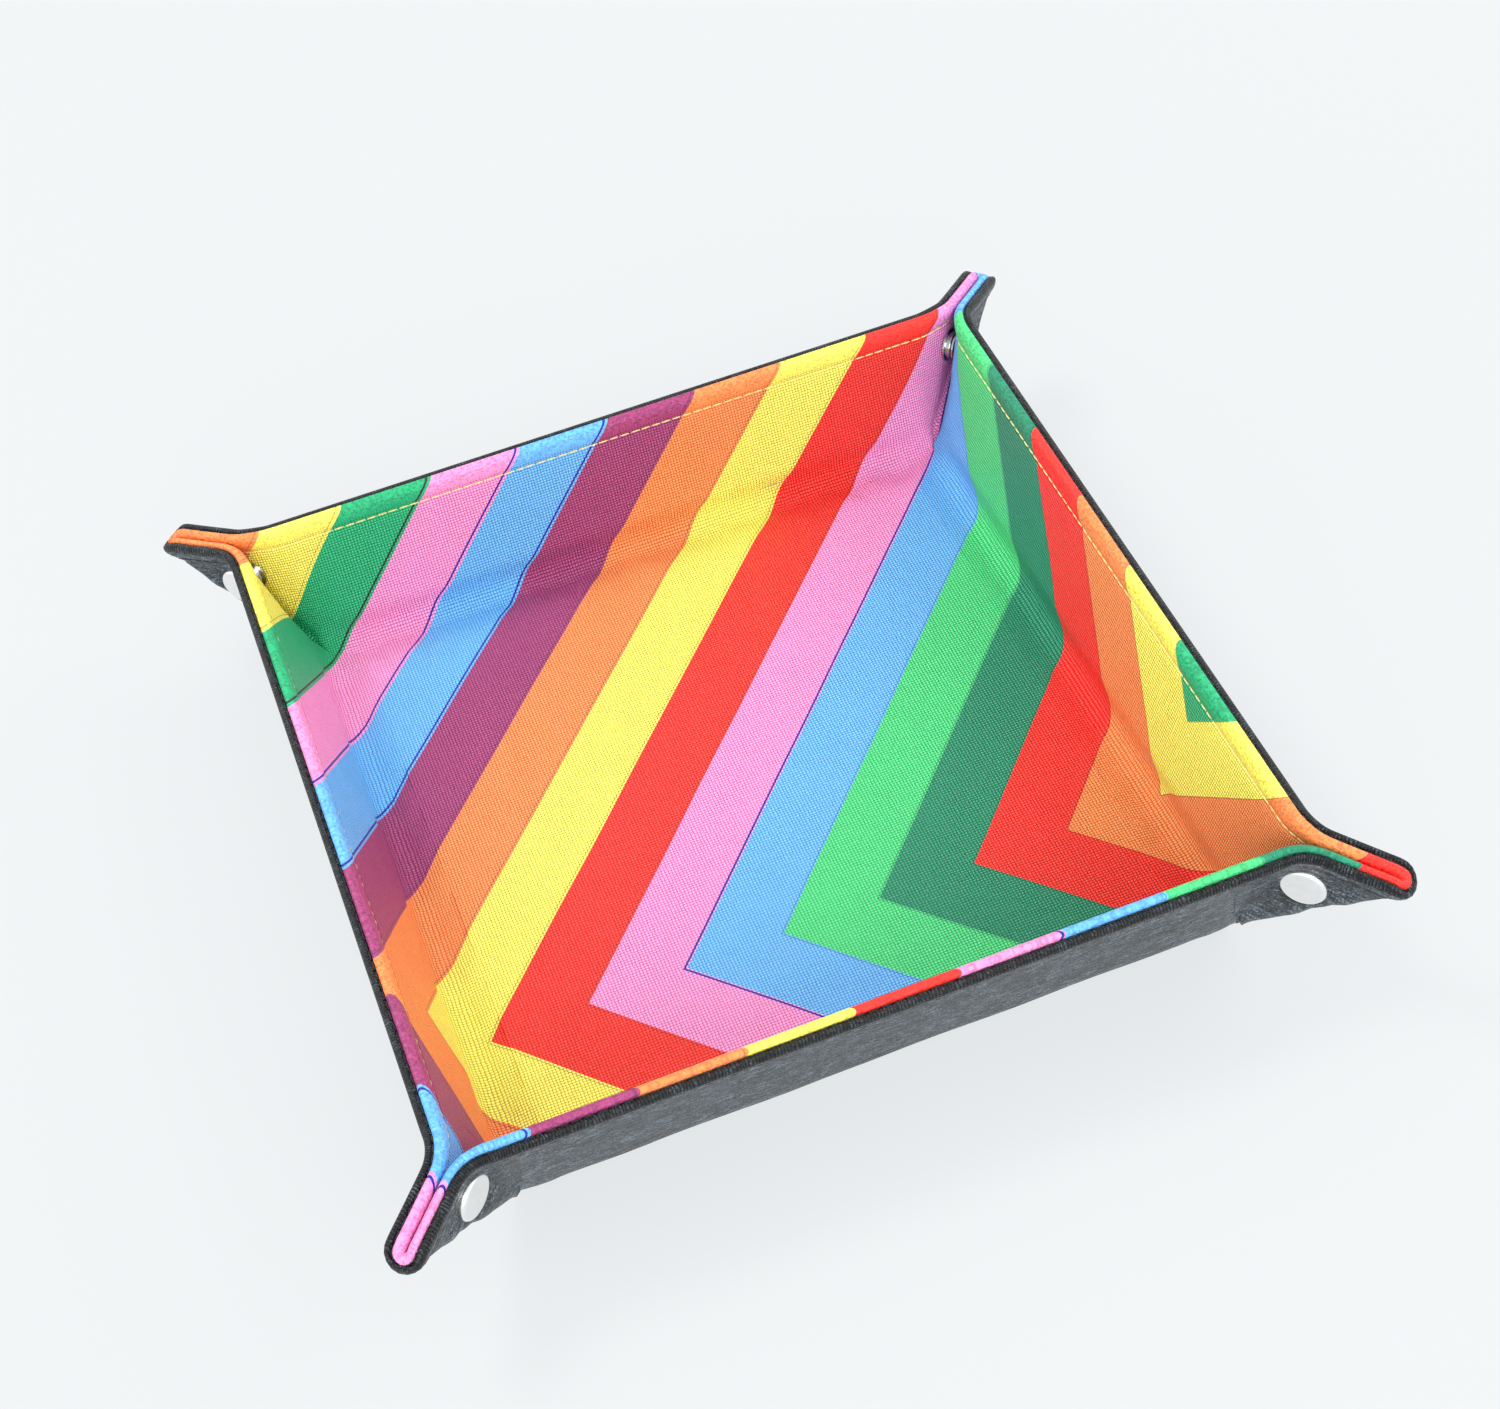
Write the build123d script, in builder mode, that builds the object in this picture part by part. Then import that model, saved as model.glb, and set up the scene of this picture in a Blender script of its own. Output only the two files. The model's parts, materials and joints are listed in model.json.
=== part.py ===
"""Folding dice tray, in millimetres.

One square sheet of leatherette, printed lining inside and black cover outside, has stiff boards
in its floor and its four walls.  The walls fold up, and each corner of the sheet is pinched into
an ear of two layers, which a snap fastener holds together.

The tray is modelled snapped up, standing on z = 0 with the middle of its floor at the origin.
Every crease turns about a line that lies fold_rise above the lining, so each floor corner has
one point where its five creases meet.  The front wall faces -Y and the right wall faces +X.
"""
import os
from math import acos, atan, cos, pi, radians, sin, sqrt, tan

from build123d import *

# ---- the sheet ---------------------------------------------------------------------------
floor_half = 93.5               # middle of the floor to a floor crease
wall_height = 40.5              # floor crease to rim, measured along the wall
wall_lean = radians(18.0)       # how far the raised walls lean out from the vertical
cover_thick = 1.0
board_thick = 2.0
lining_thick = 1.0
fold_rise = 1.5                 # the creases' turning lines lie this far above the lining
corner_radius = 7.0             # the cut corners of the flat sheet

# ---- clearances along the creases --------------------------------------------------------
floor_crease_gap = 0.5          # each side of a crease between the floor and a wall
wall_crease_gap = 2.8           # on the wall, beside the crease to an ear
ear_crease_gap = 1.9            # on the ear, beside the same crease
ear_fold_gap = 0.4              # each side of the fold that an ear's two layers share

# ---- boards, rim and seam ----------------------------------------------------------------
board_crease_inset = 4.0
board_end_inset = 7.0
board_rim_inset = 8.0
board_corner_radius = 3.0
lip_width = 1.2                 # the lining turns over the rim by this much
lip_clearance = 0.1
seam_inset = 6.0                # the seam's distance below the rim
seam_end_inset = 4.0
thread_width = 0.5
thread_depth = 0.3
groove_width = 0.7
groove_depth = 0.35

# ---- snap fasteners ----------------------------------------------------------------------
snap_from_crease = 8.3          # centre of the snap, square to the crease of its ear
snap_along_crease = 30.0        # and along that crease from the floor corner
cap_radius = 6.0
cap_height = 1.5
cap_rounding = 1.2
rivet_radius = 1.5
rivet_hole_radius = 1.65
socket_flange_radius = 5.0
socket_flange_height = 0.5
socket_radius = 4.2
socket_height = 2.2
socket_bore_radius = 2.4
socket_groove_radius = 3.1
socket_groove_low = 0.9
socket_groove_high = 1.7
spring_radius = 2.75
spring_wire_radius = 0.22
spring_arc = 300.0
stud_flange_radius = 4.5
stud_flange_height = 0.5
stud_radius = 1.8
stud_height = 2.4
stud_rounding = 0.9
socket_rounding = 0.6

# ---- worked out from the above -----------------------------------------------------------
sheet_thick = cover_thick + board_thick + lining_thick
ear_thick = cover_thick + lining_thick
fold_height = sheet_thick + fold_rise
crease_splay = atan(sin(wall_lean))              # the ear creases splay out along the wall by this
ear_turn = acos(cos(wall_lean) / sqrt(2))        # how far an ear turns out of its wall's plane
ear_angle = pi / 4 - crease_splay                # between an ear's crease and its shared fold
lining_low = fold_rise + lining_thick            # depths below the turning lines
board_low = lining_low + board_thick
wall_low = board_low + cover_thick
ear_low = lining_low + cover_thick
up = Vector(0, 0, 1)

# Each wall: the way it faces, and which corner lies at each end of it.  End +1 is the end that
# the wall plane's x axis points to.
walls = {
    "front": (Vector(0, -1, 0), {1: "left", -1: "right"}),
    "back": (Vector(0, 1, 0), {1: "right", -1: "left"}),
    "left": (Vector(-1, 0, 0), {1: "back", -1: "front"}),
    "right": (Vector(1, 0, 0), {1: "front", -1: "back"}),
}
socket_walls = ("front", "back")                 # the other two walls carry the studs


def wall_plane(outward):
    """The raised wall: x runs along it, y up the slope, z into the tray."""
    along = outward.cross(up)
    upslope = outward * sin(wall_lean) + up * cos(wall_lean)
    middle = outward * floor_half + up * fold_height
    return Plane(origin=middle, x_dir=along, z_dir=along.cross(upslope))


def ear_plane(wall, end):
    """One layer of an ear: y runs up its crease, end * x to the tip, z to the other layer."""
    across = wall.x_dir * end
    spread = across * cos(crease_splay) - wall.y_dir * sin(crease_splay)
    to_tip = spread * cos(ear_turn) - wall.z_dir * sin(ear_turn)
    to_other_layer = wall.z_dir * cos(ear_turn) + spread * sin(ear_turn)
    floor_corner = wall.origin + across * floor_half
    return Plane(origin=floor_corner, x_dir=to_tip * end, z_dir=to_other_layer)


def wall_outline(low, high, end_gap):
    """A wall between two heights, in the current sketch; its ends follow the ear creases."""
    half_low = floor_half + low * tan(crease_splay) - end_gap / cos(crease_splay)
    half_high = floor_half + high * tan(crease_splay) - end_gap / cos(crease_splay)
    Polygon((-half_low, low), (half_low, low), (half_high, high), (-half_high, high), align=None)


def meet(line_a, line_b):
    """The point where two lines meet, each given as (a, b, c) for a * x + b * y = c."""
    a1, b1, c1 = line_a
    a2, b2, c2 = line_b
    size = a1 * b2 - a2 * b1
    return Vector((c1 * b2 - c2 * b1) / size, (a1 * c2 - a2 * c1) / size)


def ear_outline(end, rim_inset, mode=Mode.ADD):
    """One layer of an ear in the current sketch, from its crease to the fold it shares."""
    to_corner = Vector(sin(ear_angle), cos(ear_angle))
    from_fold = Vector(-cos(ear_angle), sin(ear_angle))
    to_rim = Vector(-sin(crease_splay), cos(crease_splay))
    crease = (1, 0, ear_crease_gap)
    fold = (from_fold.X, from_fold.Y, ear_fold_gap)
    rim = (to_rim.X, to_rim.Y, wall_height - rim_inset)
    arc_centre = to_corner * (sqrt(2) * (wall_height - corner_radius))
    arc_radius = corner_radius - rim_inset
    arc_start = arc_centre + to_rim * arc_radius
    arc_middle = arc_centre + (to_rim + to_corner).normalized() * arc_radius
    arc_end = arc_centre + to_corner * arc_radius + from_fold * ear_fold_gap
    points = [meet(crease, fold), meet(crease, rim), arc_start, arc_middle, arc_end]
    foot, rim_end, arc_start, arc_middle, arc_end = [(p.X * end, p.Y) for p in points]
    with BuildLine() as outline:
        Polyline(arc_end, foot, rim_end, arc_start)
        ThreePointArc(arc_start, arc_middle, arc_end)
    make_face(outline.edges(), mode=mode)


def snap_plane(ear, end, depth, z_dir):
    """The snap's centre on an ear layer, at a depth below the turning lines."""
    centre = ear.origin + ear.x_dir * (end * snap_from_crease)
    centre = centre + ear.y_dir * snap_along_crease - ear.z_dir * depth
    return Plane(origin=centre, x_dir=ear.x_dir, z_dir=z_dir)


def save(part, name):
    part.label = name
    export_step(part, f"parts/{name}.step")


def make_floor():
    """The floor: cover, board and lining, square plates one on the other."""
    side = 2 * (floor_half - floor_crease_gap)
    board_side = side - 2 * board_crease_inset
    with BuildPart() as floor_cover:
        with BuildSketch(Plane.XY):
            Rectangle(side, side)
        extrude(amount=cover_thick)
    save(floor_cover.part, "floor_outer_cover")
    with BuildPart() as floor_board:
        with BuildSketch(Plane.XY.offset(cover_thick)):
            RectangleRounded(board_side, board_side, board_corner_radius)
        extrude(amount=board_thick)
    save(floor_board.part, "floor_board")
    with BuildPart() as floor_lining:
        with BuildSketch(Plane.XY.offset(cover_thick + board_thick)):
            Rectangle(side, side)
        extrude(amount=lining_thick)
    save(floor_lining.part, "floor_lining")


def make_wall_cover(wall, name):
    """The black outer layer of a wall, with a groove for the seam's lower thread."""
    with BuildPart() as cover:
        with BuildSketch(wall.offset(-wall_low)):
            wall_outline(floor_crease_gap, wall_height - lip_width - lip_clearance, wall_crease_gap)
        extrude(amount=cover_thick)
        with BuildSketch(wall.offset(-wall_low)):
            seam_outline(groove_width)
        extrude(amount=groove_depth, mode=Mode.SUBTRACT)
    save(cover.part, f"{name}_wall_outer_cover")


def make_wall_board(wall, name):
    with BuildPart() as board:
        with BuildSketch(wall.offset(-board_low)) as outline:
            wall_outline(board_crease_inset, wall_height - board_rim_inset, board_end_inset)
            fillet(outline.vertices(), board_corner_radius)
        extrude(amount=board_thick)
    save(board.part, f"{name}_wall_board")


def make_wall_lining(wall, name):
    """The printed inner layer of a wall, which turns over the rim to meet the cover."""
    with BuildPart() as lining:
        with BuildSketch(wall.offset(-lining_low)):
            wall_outline(floor_crease_gap, wall_height, wall_crease_gap)
        extrude(amount=lining_thick)
        with BuildSketch(wall.offset(-wall_low)):
            wall_outline(wall_height - lip_width, wall_height, wall_crease_gap)
        extrude(amount=sheet_thick)
        with BuildSketch(wall.offset(-fold_rise)):
            seam_outline(groove_width)
        extrude(amount=-groove_depth, mode=Mode.SUBTRACT)
    save(lining.part, f"{name}_wall_lining")


def seam_outline(width):
    """The seam along a wall's rim, as a strip in the current sketch."""
    middle = wall_height - seam_inset
    wall_outline(middle - width / 2, middle + width / 2, wall_crease_gap + seam_end_inset)


def make_wall_stitching(wall, name):
    """The seam's two threads, one in each groove."""
    with BuildPart() as stitching:
        with BuildSketch(wall.offset(-fold_rise)):
            seam_outline(thread_width)
        extrude(amount=-thread_depth)
        with BuildSketch(wall.offset(-wall_low)):
            seam_outline(thread_width)
        extrude(amount=thread_depth)
    save(stitching.part, f"{name}_wall_stitching")


def make_ear_cover(ear, end, name):
    with BuildPart() as cover:
        with BuildSketch(ear.offset(-ear_low)):
            ear_outline(end, lip_width + lip_clearance)
        extrude(amount=cover_thick)
        with BuildSketch(snap_plane(ear, end, ear_low, ear.z_dir)):
            Circle(rivet_hole_radius)
        extrude(amount=cover_thick, mode=Mode.SUBTRACT)
    save(cover.part, f"{name}_ear_cover")


def make_ear_lining(ear, end, name):
    """The printed layer of an ear, turned over its rim like a wall's."""
    with BuildPart() as lining:
        with BuildSketch(ear.offset(-lining_low)):
            ear_outline(end, 0)
        extrude(amount=lining_thick)
        with BuildSketch(ear.offset(-ear_low)):
            ear_outline(end, 0)
            ear_outline(end, lip_width, Mode.SUBTRACT)
        extrude(amount=ear_thick)
        with BuildSketch(snap_plane(ear, end, lining_low, ear.z_dir)):
            Circle(rivet_hole_radius)
        extrude(amount=lining_thick, mode=Mode.SUBTRACT)
    save(lining.part, f"{name}_ear_lining")


def make_snap_cap(ear, end, name):
    """The domed cap outside an ear, and its rivet through both layers."""
    with BuildPart() as cap:
        outside = snap_plane(ear, end, ear_low, -ear.z_dir)
        with BuildSketch(outside):
            Circle(cap_radius)
        extrude(amount=cap_height)
        crown = cap.faces().sort_by(Axis(outside.origin, outside.z_dir))[-1]
        fillet(crown.edges(), cap_rounding)
        with BuildSketch(outside):
            Circle(rivet_radius)
        extrude(amount=-ear_thick)
    save(cap.part, f"{name}_snap_cap")


def make_snap_socket(ear, end, name):
    """The hollow half of a snap, with a groove for its spring."""
    inside = snap_plane(ear, end, fold_rise, ear.z_dir)
    with BuildPart() as socket:
        with BuildSketch(inside):
            Circle(socket_flange_radius)
        extrude(amount=socket_flange_height)
        with BuildSketch(inside):
            Circle(socket_radius)
        extrude(amount=socket_height)
        crown = socket.faces().sort_by(Axis(inside.origin, inside.z_dir))[-1]
        fillet(crown.edges(), socket_rounding)
        with BuildSketch(inside.offset(socket_flange_height)):
            Circle(socket_bore_radius)
        extrude(amount=socket_height, mode=Mode.SUBTRACT)
        with BuildSketch(inside.offset(socket_groove_low)):
            Circle(socket_groove_radius)
        extrude(amount=socket_groove_high - socket_groove_low, mode=Mode.SUBTRACT)
    save(socket.part, f"{name}_snap_socket")


def make_socket_spring(ear, end, name):
    """The split wire ring in the socket's groove."""
    middle = fold_rise - (socket_groove_low + socket_groove_high) / 2
    ring_plane = snap_plane(ear, end, middle, ear.z_dir)
    with BuildPart() as spring:
        with BuildLine(ring_plane) as ring:
            CenterArc((0, 0), spring_radius, 0, spring_arc)
        with BuildSketch(Plane(origin=ring.line @ 0, z_dir=ring.line % 0)):
            Circle(spring_wire_radius)
        sweep()
    save(spring.part, f"{name}_socket_spring")


def make_snap_stud(ear, end, name):
    """The post half of a snap, which presses into the socket."""
    inside = snap_plane(ear, end, fold_rise, ear.z_dir)
    with BuildPart() as stud:
        with BuildSketch(inside):
            Circle(stud_radius)
        extrude(amount=stud_height)
        tip = stud.faces().sort_by(Axis(inside.origin, inside.z_dir))[-1]
        fillet(tip.edges(), stud_rounding)
        with BuildSketch(inside):
            Circle(stud_flange_radius)
        extrude(amount=stud_flange_height)
    save(stud.part, f"{name}_snap_stud")


os.makedirs("parts", exist_ok=True)
make_floor()
for wall_name, (outward, ends) in walls.items():
    wall = wall_plane(outward)
    make_wall_cover(wall, wall_name)
    make_wall_board(wall, wall_name)
    make_wall_lining(wall, wall_name)
    make_wall_stitching(wall, wall_name)
    for end, corner_name in ends.items():
        ear = ear_plane(wall, end)
        ear_name = f"{wall_name}_wall_{corner_name}"
        make_ear_cover(ear, end, ear_name)
        make_ear_lining(ear, end, ear_name)
        make_snap_cap(ear, end, ear_name)
        if wall_name in socket_walls:
            make_snap_socket(ear, end, ear_name)
            make_socket_spring(ear, end, ear_name)
        else:
            make_snap_stud(ear, end, ear_name)
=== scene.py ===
"""A snap-up dice tray: its printed lining, black cover, rolled rim, seams and metal.  In metres.

The tray is one flat sheet, folded.  A place on it is given as (u, v) on the flat sheet, from the
middle of the floor, with a depth below the lines that its creases turn about.  Stripes, seams and
patches are laid out on the flat sheet, and place() puts them where the folded sheet has them.
"""
import json
from math import acos, atan, cos, pi, radians, sin, sqrt, tan

import bpy
import numpy as np
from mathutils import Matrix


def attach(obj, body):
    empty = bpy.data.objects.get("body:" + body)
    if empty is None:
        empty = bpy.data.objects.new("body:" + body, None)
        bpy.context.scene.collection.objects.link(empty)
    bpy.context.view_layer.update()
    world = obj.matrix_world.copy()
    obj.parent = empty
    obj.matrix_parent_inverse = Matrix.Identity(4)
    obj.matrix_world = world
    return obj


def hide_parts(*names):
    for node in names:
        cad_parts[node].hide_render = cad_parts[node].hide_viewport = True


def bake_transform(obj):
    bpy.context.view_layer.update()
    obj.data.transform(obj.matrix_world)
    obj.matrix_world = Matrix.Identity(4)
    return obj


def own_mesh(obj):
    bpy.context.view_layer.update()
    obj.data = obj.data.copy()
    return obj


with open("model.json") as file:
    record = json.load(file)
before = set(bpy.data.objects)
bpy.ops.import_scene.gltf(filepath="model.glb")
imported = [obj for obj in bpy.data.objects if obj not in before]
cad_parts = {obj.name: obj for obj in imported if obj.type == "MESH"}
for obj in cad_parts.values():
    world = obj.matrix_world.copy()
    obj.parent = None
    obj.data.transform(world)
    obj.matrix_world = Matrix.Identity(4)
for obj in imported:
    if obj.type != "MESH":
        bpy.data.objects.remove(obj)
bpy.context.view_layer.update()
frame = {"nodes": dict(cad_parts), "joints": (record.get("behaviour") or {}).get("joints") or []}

MM = 0.001

# ---- the sheet and its creases -----------------------------------------------------------
joints = {joint["name"]: joint for joint in frame["joints"]}
front_crease = joints["front_wall_fold"]
HALF = -front_crease["pos_m"][1]                       # middle of the floor to a crease
FOLD_Z = front_crease["pos_m"][2]                      # height of the creases' turning lines
LEAN = radians(90 - front_crease["range_deg"][1])      # the walls lean out by this
WALL = 40.5 * MM                                       # crease to rim, up the wall
CORNER = 7 * MM                                        # radius of the flat sheet's corners
SPLAY = atan(sin(LEAN))                                # an ear's crease leans along its wall
EAR_TURN = acos(cos(LEAN) / sqrt(2))                   # an ear layer turns out of its wall
EAR_ANGLE = pi / 4 - SPLAY                             # from an ear's crease to its shared fold
LAP = 9 * MM                                           # the patches meet this far short of a floor crease, and places taken about a crease lie this far each way
FLOOR_BEND = 4.5 * MM                                  # reach of the rounding at a floor crease
EAR_BEND = 9 * MM                                      # and at an ear's crease
BEND_SHARE = 0.45                                      # its largest share of the way to a corner
WRAP = 2.4 * MM                                        # half the width of an ear's tight fold
CORNER_REACH = 8 * MM                                  # round a floor corner the layers lie as one

# ---- depths of the sheet's faces below the turning lines ---------------------------------
LINING = 1.5 * MM
COVER = 5.2 * MM
EAR_COVER = 4.0 * MM
SNAP_COVER = 3.5 * MM
CORNER_COVER = 5.1 * MM
LAYER = 0.8 * MM

# How far the lining stands off along a floor crease, in mm: distance past the crease, height.
# It dips into the gap between two boards and stands proud again at the foot of the wall.
GAP_PROFILE = (
    (-13.0, 0.00), (-9.0, -0.12), (-6.5, -0.45), (-4.0, -0.92), (-2.0, -1.70), (-0.5, -2.30),
    (0.7, -2.30), (2.2, -1.70), (4.2, -0.85), (6.0, -0.12), (6.8, 0.18), (7.6, 0.25), (13.0, 0.00),
)

# ---- patches -----------------------------------------------------------------------------
BAND = 6.6 * MM                                        # width of the rolled rim's cross section
BORDER = radians(-10)                                  # lean of the joint from a wall to an ear
ROW = 1.5 * MM                                         # spacing of the mesh
FINE = 0.55 * MM
FOLD_STRIP = 5 * MM                                    # part of an ear's rim that joins its fold

# The rim's cross section: distance in from the edge, depth on a wall, depth on an ear, in mm.
LINING_RIM = (
    (6.6, 1.50, 1.50), (6.3, 1.72, 1.68), (6.0, 1.85, 1.80), (5.7, 1.70, 1.65), (5.2, 1.30, 1.15),
    (4.2, 1.00, 0.70), (3.0, 0.85, 0.35), (2.0, 0.90, 0.25), (1.2, 1.10, 0.45), (0.6, 1.50, 0.85),
    (0.2, 2.00, 1.35), (0.0, 2.55, 1.85), (0.1, 3.05, 2.35), (0.5, 3.45, 2.70), (1.4, 3.65, 2.85),
)
COVER_RIM = (
    (1.4, 3.90, 3.05), (0.7, 4.00, 3.20), (0.2, 4.35, 3.55), (0.0, 4.85, 4.00), (0.1, 5.40, 4.50),
    (0.5, 5.90, 4.90), (1.2, 6.15, 5.15), (2.1, 6.15, 5.20), (3.2, 5.90, 5.00), (4.3, 5.62, 4.60),
    (4.9, 5.25, 4.15), (5.3, 5.35, 4.20), (6.6, 5.20, 4.05),
)

# ---- snaps -------------------------------------------------------------------------------
SNAP_FROM_CREASE = 8.3 * MM
SNAP_ALONG_CREASE = 30 * MM
SNAP_PRESS = 6.2 * MM                                  # radius that a snap presses flat
SNAP_FADE = 4.5 * MM

# ---- seams -------------------------------------------------------------------------------
INNER_SEAM = 6.0 * MM                                  # distance in from the rim
OUTER_SEAM = 4.9 * MM
STITCH = 2.7 * MM
STITCH_GAP = 0.45 * MM
THREAD = 0.24 * MM

# ---- the printed stripes -----------------------------------------------------------------
UNIT = 0.95 * MM
STRIPE = 27.87 * UNIT                                  # from one stripe to the next, across
STRIPE_START = -94.36 * UNIT
POINT_LINE = -55.64 * UNIT                             # where the stripes turn back
SLANT_ABOVE = 0.898
SLANT_BELOW = 0.953
PRINT_STRETCH = 2.2 * MM                               # the print's lead over a floor crease

WALLS = ("back", "left", "front", "right")             # each a quarter turn from the one before


def smoothstep(x):
    x = np.clip(x, 0, 1)
    return x * x * (3 - 2 * x)


# ---- folding the flat sheet --------------------------------------------------------------
UPSLOPE = np.array((0, sin(LEAN), cos(LEAN)))
WALL_FACE = np.array((0, -cos(LEAN), sin(LEAN)))
ALONG = np.array((1.0, 0, 0))
CREASE_DIR = cos(SPLAY) * UPSLOPE + sin(SPLAY) * ALONG
SPREAD = cos(SPLAY) * ALONG - sin(SPLAY) * UPSLOPE
TO_TIP = cos(EAR_TURN) * SPREAD - sin(EAR_TURN) * WALL_FACE
EAR_FACE = cos(EAR_TURN) * WALL_FACE + sin(EAR_TURN) * SPREAD


def crease_coordinates(e, s):
    """Flat distances past a floor corner, as distances along and square to the ear's crease."""
    return e * sin(SPLAY) + s * cos(SPLAY), e * cos(SPLAY) - s * sin(SPLAY)


def rigid_fold(u, v, upright):
    """Where stiff panels and sharp creases put flat points, and the way the sheet faces there.

    upright says which points belong to the front and back walls' side of the sheet.
    """
    upright = np.broadcast_to(upright, np.shape(u))
    across = np.where(upright, u, v)
    rise = np.where(upright, v, u)
    e = np.abs(across) - HALF
    s = np.abs(rise) - HALF
    along, square = crease_coordinates(e, s)
    on_ear = (s > 0) & (square > 0)
    on_wall = (s > 0) & ~on_ear
    on_side = (s <= 0) & (e > 0)
    zero = np.zeros_like(e)
    floor = np.stack((e + HALF, s + HALF, zero), -1)
    wall = np.stack((e + HALF, HALF + s * sin(LEAN), s * cos(LEAN)), -1)
    side = np.stack((HALF + e * sin(LEAN), s + HALF, e * cos(LEAN)), -1)
    ear = np.array((HALF, HALF, 0)) + along[..., None] * CREASE_DIR + square[..., None] * TO_TIP
    spot = np.select((on_ear[..., None], on_wall[..., None], on_side[..., None]), (ear, wall, side), floor)
    side_face = WALL_FACE[[1, 0, 2]]
    face = np.select(
        (on_ear[..., None], on_wall[..., None], on_side[..., None]),
        (EAR_FACE, WALL_FACE, side_face), np.array((0, 0, 1.0)))
    signs = np.stack((np.where(across < 0, -1, 1), np.where(rise < 0, -1, 1), zero + 1), -1)
    spot, face = spot * signs, face * signs
    spot = np.where(upright[..., None], spot, spot[..., [1, 0, 2]])
    face = np.where(upright[..., None], face, face[..., [1, 0, 2]])
    return spot + np.array((0, 0, FOLD_Z)), face


def soft_weights(count=110):
    """Points spread over a unit disc, weighted towards its edge.

    A crease comes out as a nearly flat band between two soft kinks: the sheet spans the gap
    from one board's edge to the next.
    """
    turn = pi * (3 - sqrt(5))
    points = []
    for i in range(count):
        radius = sqrt((i + 0.5) / count)
        weight = np.exp(-((radius - 0.72) / 0.2) ** 2)
        points.append((radius * cos(i * turn), radius * sin(i * turn), weight))
    points = np.array(points)
    points[:, 2] /= points[:, 2].sum()
    points[:, :2] -= (points[:, :2] * points[:, 2:]).sum(0)
    return points


DISC = soft_weights()


def soft_fold(u, v, upright):
    """rigid_fold() averaged over a small disc, which rounds every crease."""
    past = np.maximum(np.abs(u), np.abs(v)) - HALF
    reach = FLOOR_BEND + (EAR_BEND - FLOOR_BEND) * smoothstep((past - 5 * MM) / (12 * MM))
    reach = np.minimum(reach, BEND_SHARE * np.hypot(np.abs(u) - HALF, np.abs(v) - HALF))
    spot = face = 0
    for du, dv, weight in DISC:
        one_spot, one_face = rigid_fold(u + reach * du, v + reach * dv, upright)
        spot = spot + weight * one_spot
        face = face + weight * one_face
    return spot, face / np.linalg.norm(face, axis=-1, keepdims=True)


def tight_fold(u, v, upright):
    """Makes room for the fold that an ear's two layers share.

    Returns the flat place to use, the turn round the fold and the direction across the fold.
    """
    across = np.where(upright, u, v)
    rise = np.where(upright, v, u)
    e, s = np.abs(across) - HALF, np.abs(rise) - HALF
    square = crease_coordinates(e, s)[1]
    on_ear = (s > 0) & (square > 0)
    along = np.where(on_ear, (s + e) / sqrt(2), 1)
    off = np.clip(np.where(on_ear, (s - e) / sqrt(2), 1), 0, None)
    width = along * tan(EAR_ANGLE)
    wrap = np.minimum(WRAP, 0.3 * width)
    turn = np.where(on_ear, (1 - np.clip(off / wrap, 0, 1)) * pi / 2, 0)
    moved = np.where(off < wrap, 0, (off - wrap) * width / (width - wrap))
    new_e = np.where(on_ear, (along - moved) / sqrt(2), e)
    new_s = np.where(on_ear, (along + moved) / sqrt(2), s)
    new_across = np.where(across < 0, -1, 1) * (new_e + HALF)
    new_rise = np.where(rise < 0, -1, 1) * (new_s + HALF)
    new_u = np.where(upright, new_across, new_rise)
    new_v = np.where(upright, new_rise, new_across)
    step = 0.1 * MM
    step_across = np.where(across < 0, -1, 1) * step
    step_rise = -np.where(rise < 0, -1, 1) * step
    du = np.where(upright, step_across, step_rise)
    dv = np.where(upright, step_rise, step_across)
    beyond = rigid_fold(new_u + du, new_v + dv, upright)[0] - rigid_fold(new_u, new_v, upright)[0]
    beyond = beyond / np.linalg.norm(beyond, axis=-1, keepdims=True)
    return new_u, new_v, turn, beyond


def place(u, v, upright, depth):
    """The folded sheet's points at flat (u, v), at a depth below the turning lines."""
    u, v = np.asarray(u, float), np.asarray(v, float)
    upright = np.broadcast_to(upright, u.shape)
    new_u, new_v, turn, beyond = tight_fold(u, v, upright)
    spot, face = soft_fold(new_u, new_v, upright)
    face = np.cos(turn)[..., None] * face - np.sin(turn)[..., None] * beyond
    inward = np.stack((-np.sign(u), -np.sign(v), np.full_like(u, sqrt(2))), -1) / 2
    near = smoothstep(1 - np.hypot(np.abs(u) - HALF, np.abs(v) - HALF) / CORNER_REACH)[..., None]
    face = face + near * (inward - face)
    face = face / np.linalg.norm(face, axis=-1, keepdims=True)
    return spot - np.asarray(depth)[..., None] * face, face


# ---- depths of the faces -----------------------------------------------------------------
def ear_share(u, v, upright):
    """0 on a wall's boarded part, 1 on an ear."""
    e = np.where(upright, np.abs(u), np.abs(v)) - HALF
    s = np.where(upright, np.abs(v), np.abs(u)) - HALF
    square = crease_coordinates(e, s)[1]
    return np.where(s > 0, smoothstep((square + 9 * MM) / (11 * MM)), 0)


def snap_press(u, v, upright):
    """1 where a snap presses the ear's layers flat, fading to 0 round it."""
    new_u, new_v, _, _ = tight_fold(u, v, upright)
    e = np.where(upright, np.abs(new_u), np.abs(new_v)) - HALF
    s = np.where(upright, np.abs(new_v), np.abs(new_u)) - HALF
    along, square = crease_coordinates(e, s)
    far = np.hypot(along - SNAP_ALONG_CREASE, square - SNAP_FROM_CREASE)
    return smoothstep((SNAP_PRESS + SNAP_FADE - far) / SNAP_FADE)


def waves(u, v, length, seed):
    """Gentle irregular waves over the flat sheet, -1 to 1, about this long."""
    rng = np.random.default_rng(seed)
    total = np.zeros(np.shape(u))
    for _ in range(7):
        heading, phase = rng.uniform(0, 2 * pi, 2)
        pitch = length * rng.uniform(0.7, 1.5)
        total = total + np.sin(2 * pi * (u * cos(heading) + v * sin(heading)) / pitch + phase)
    return total / 3.5


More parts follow.
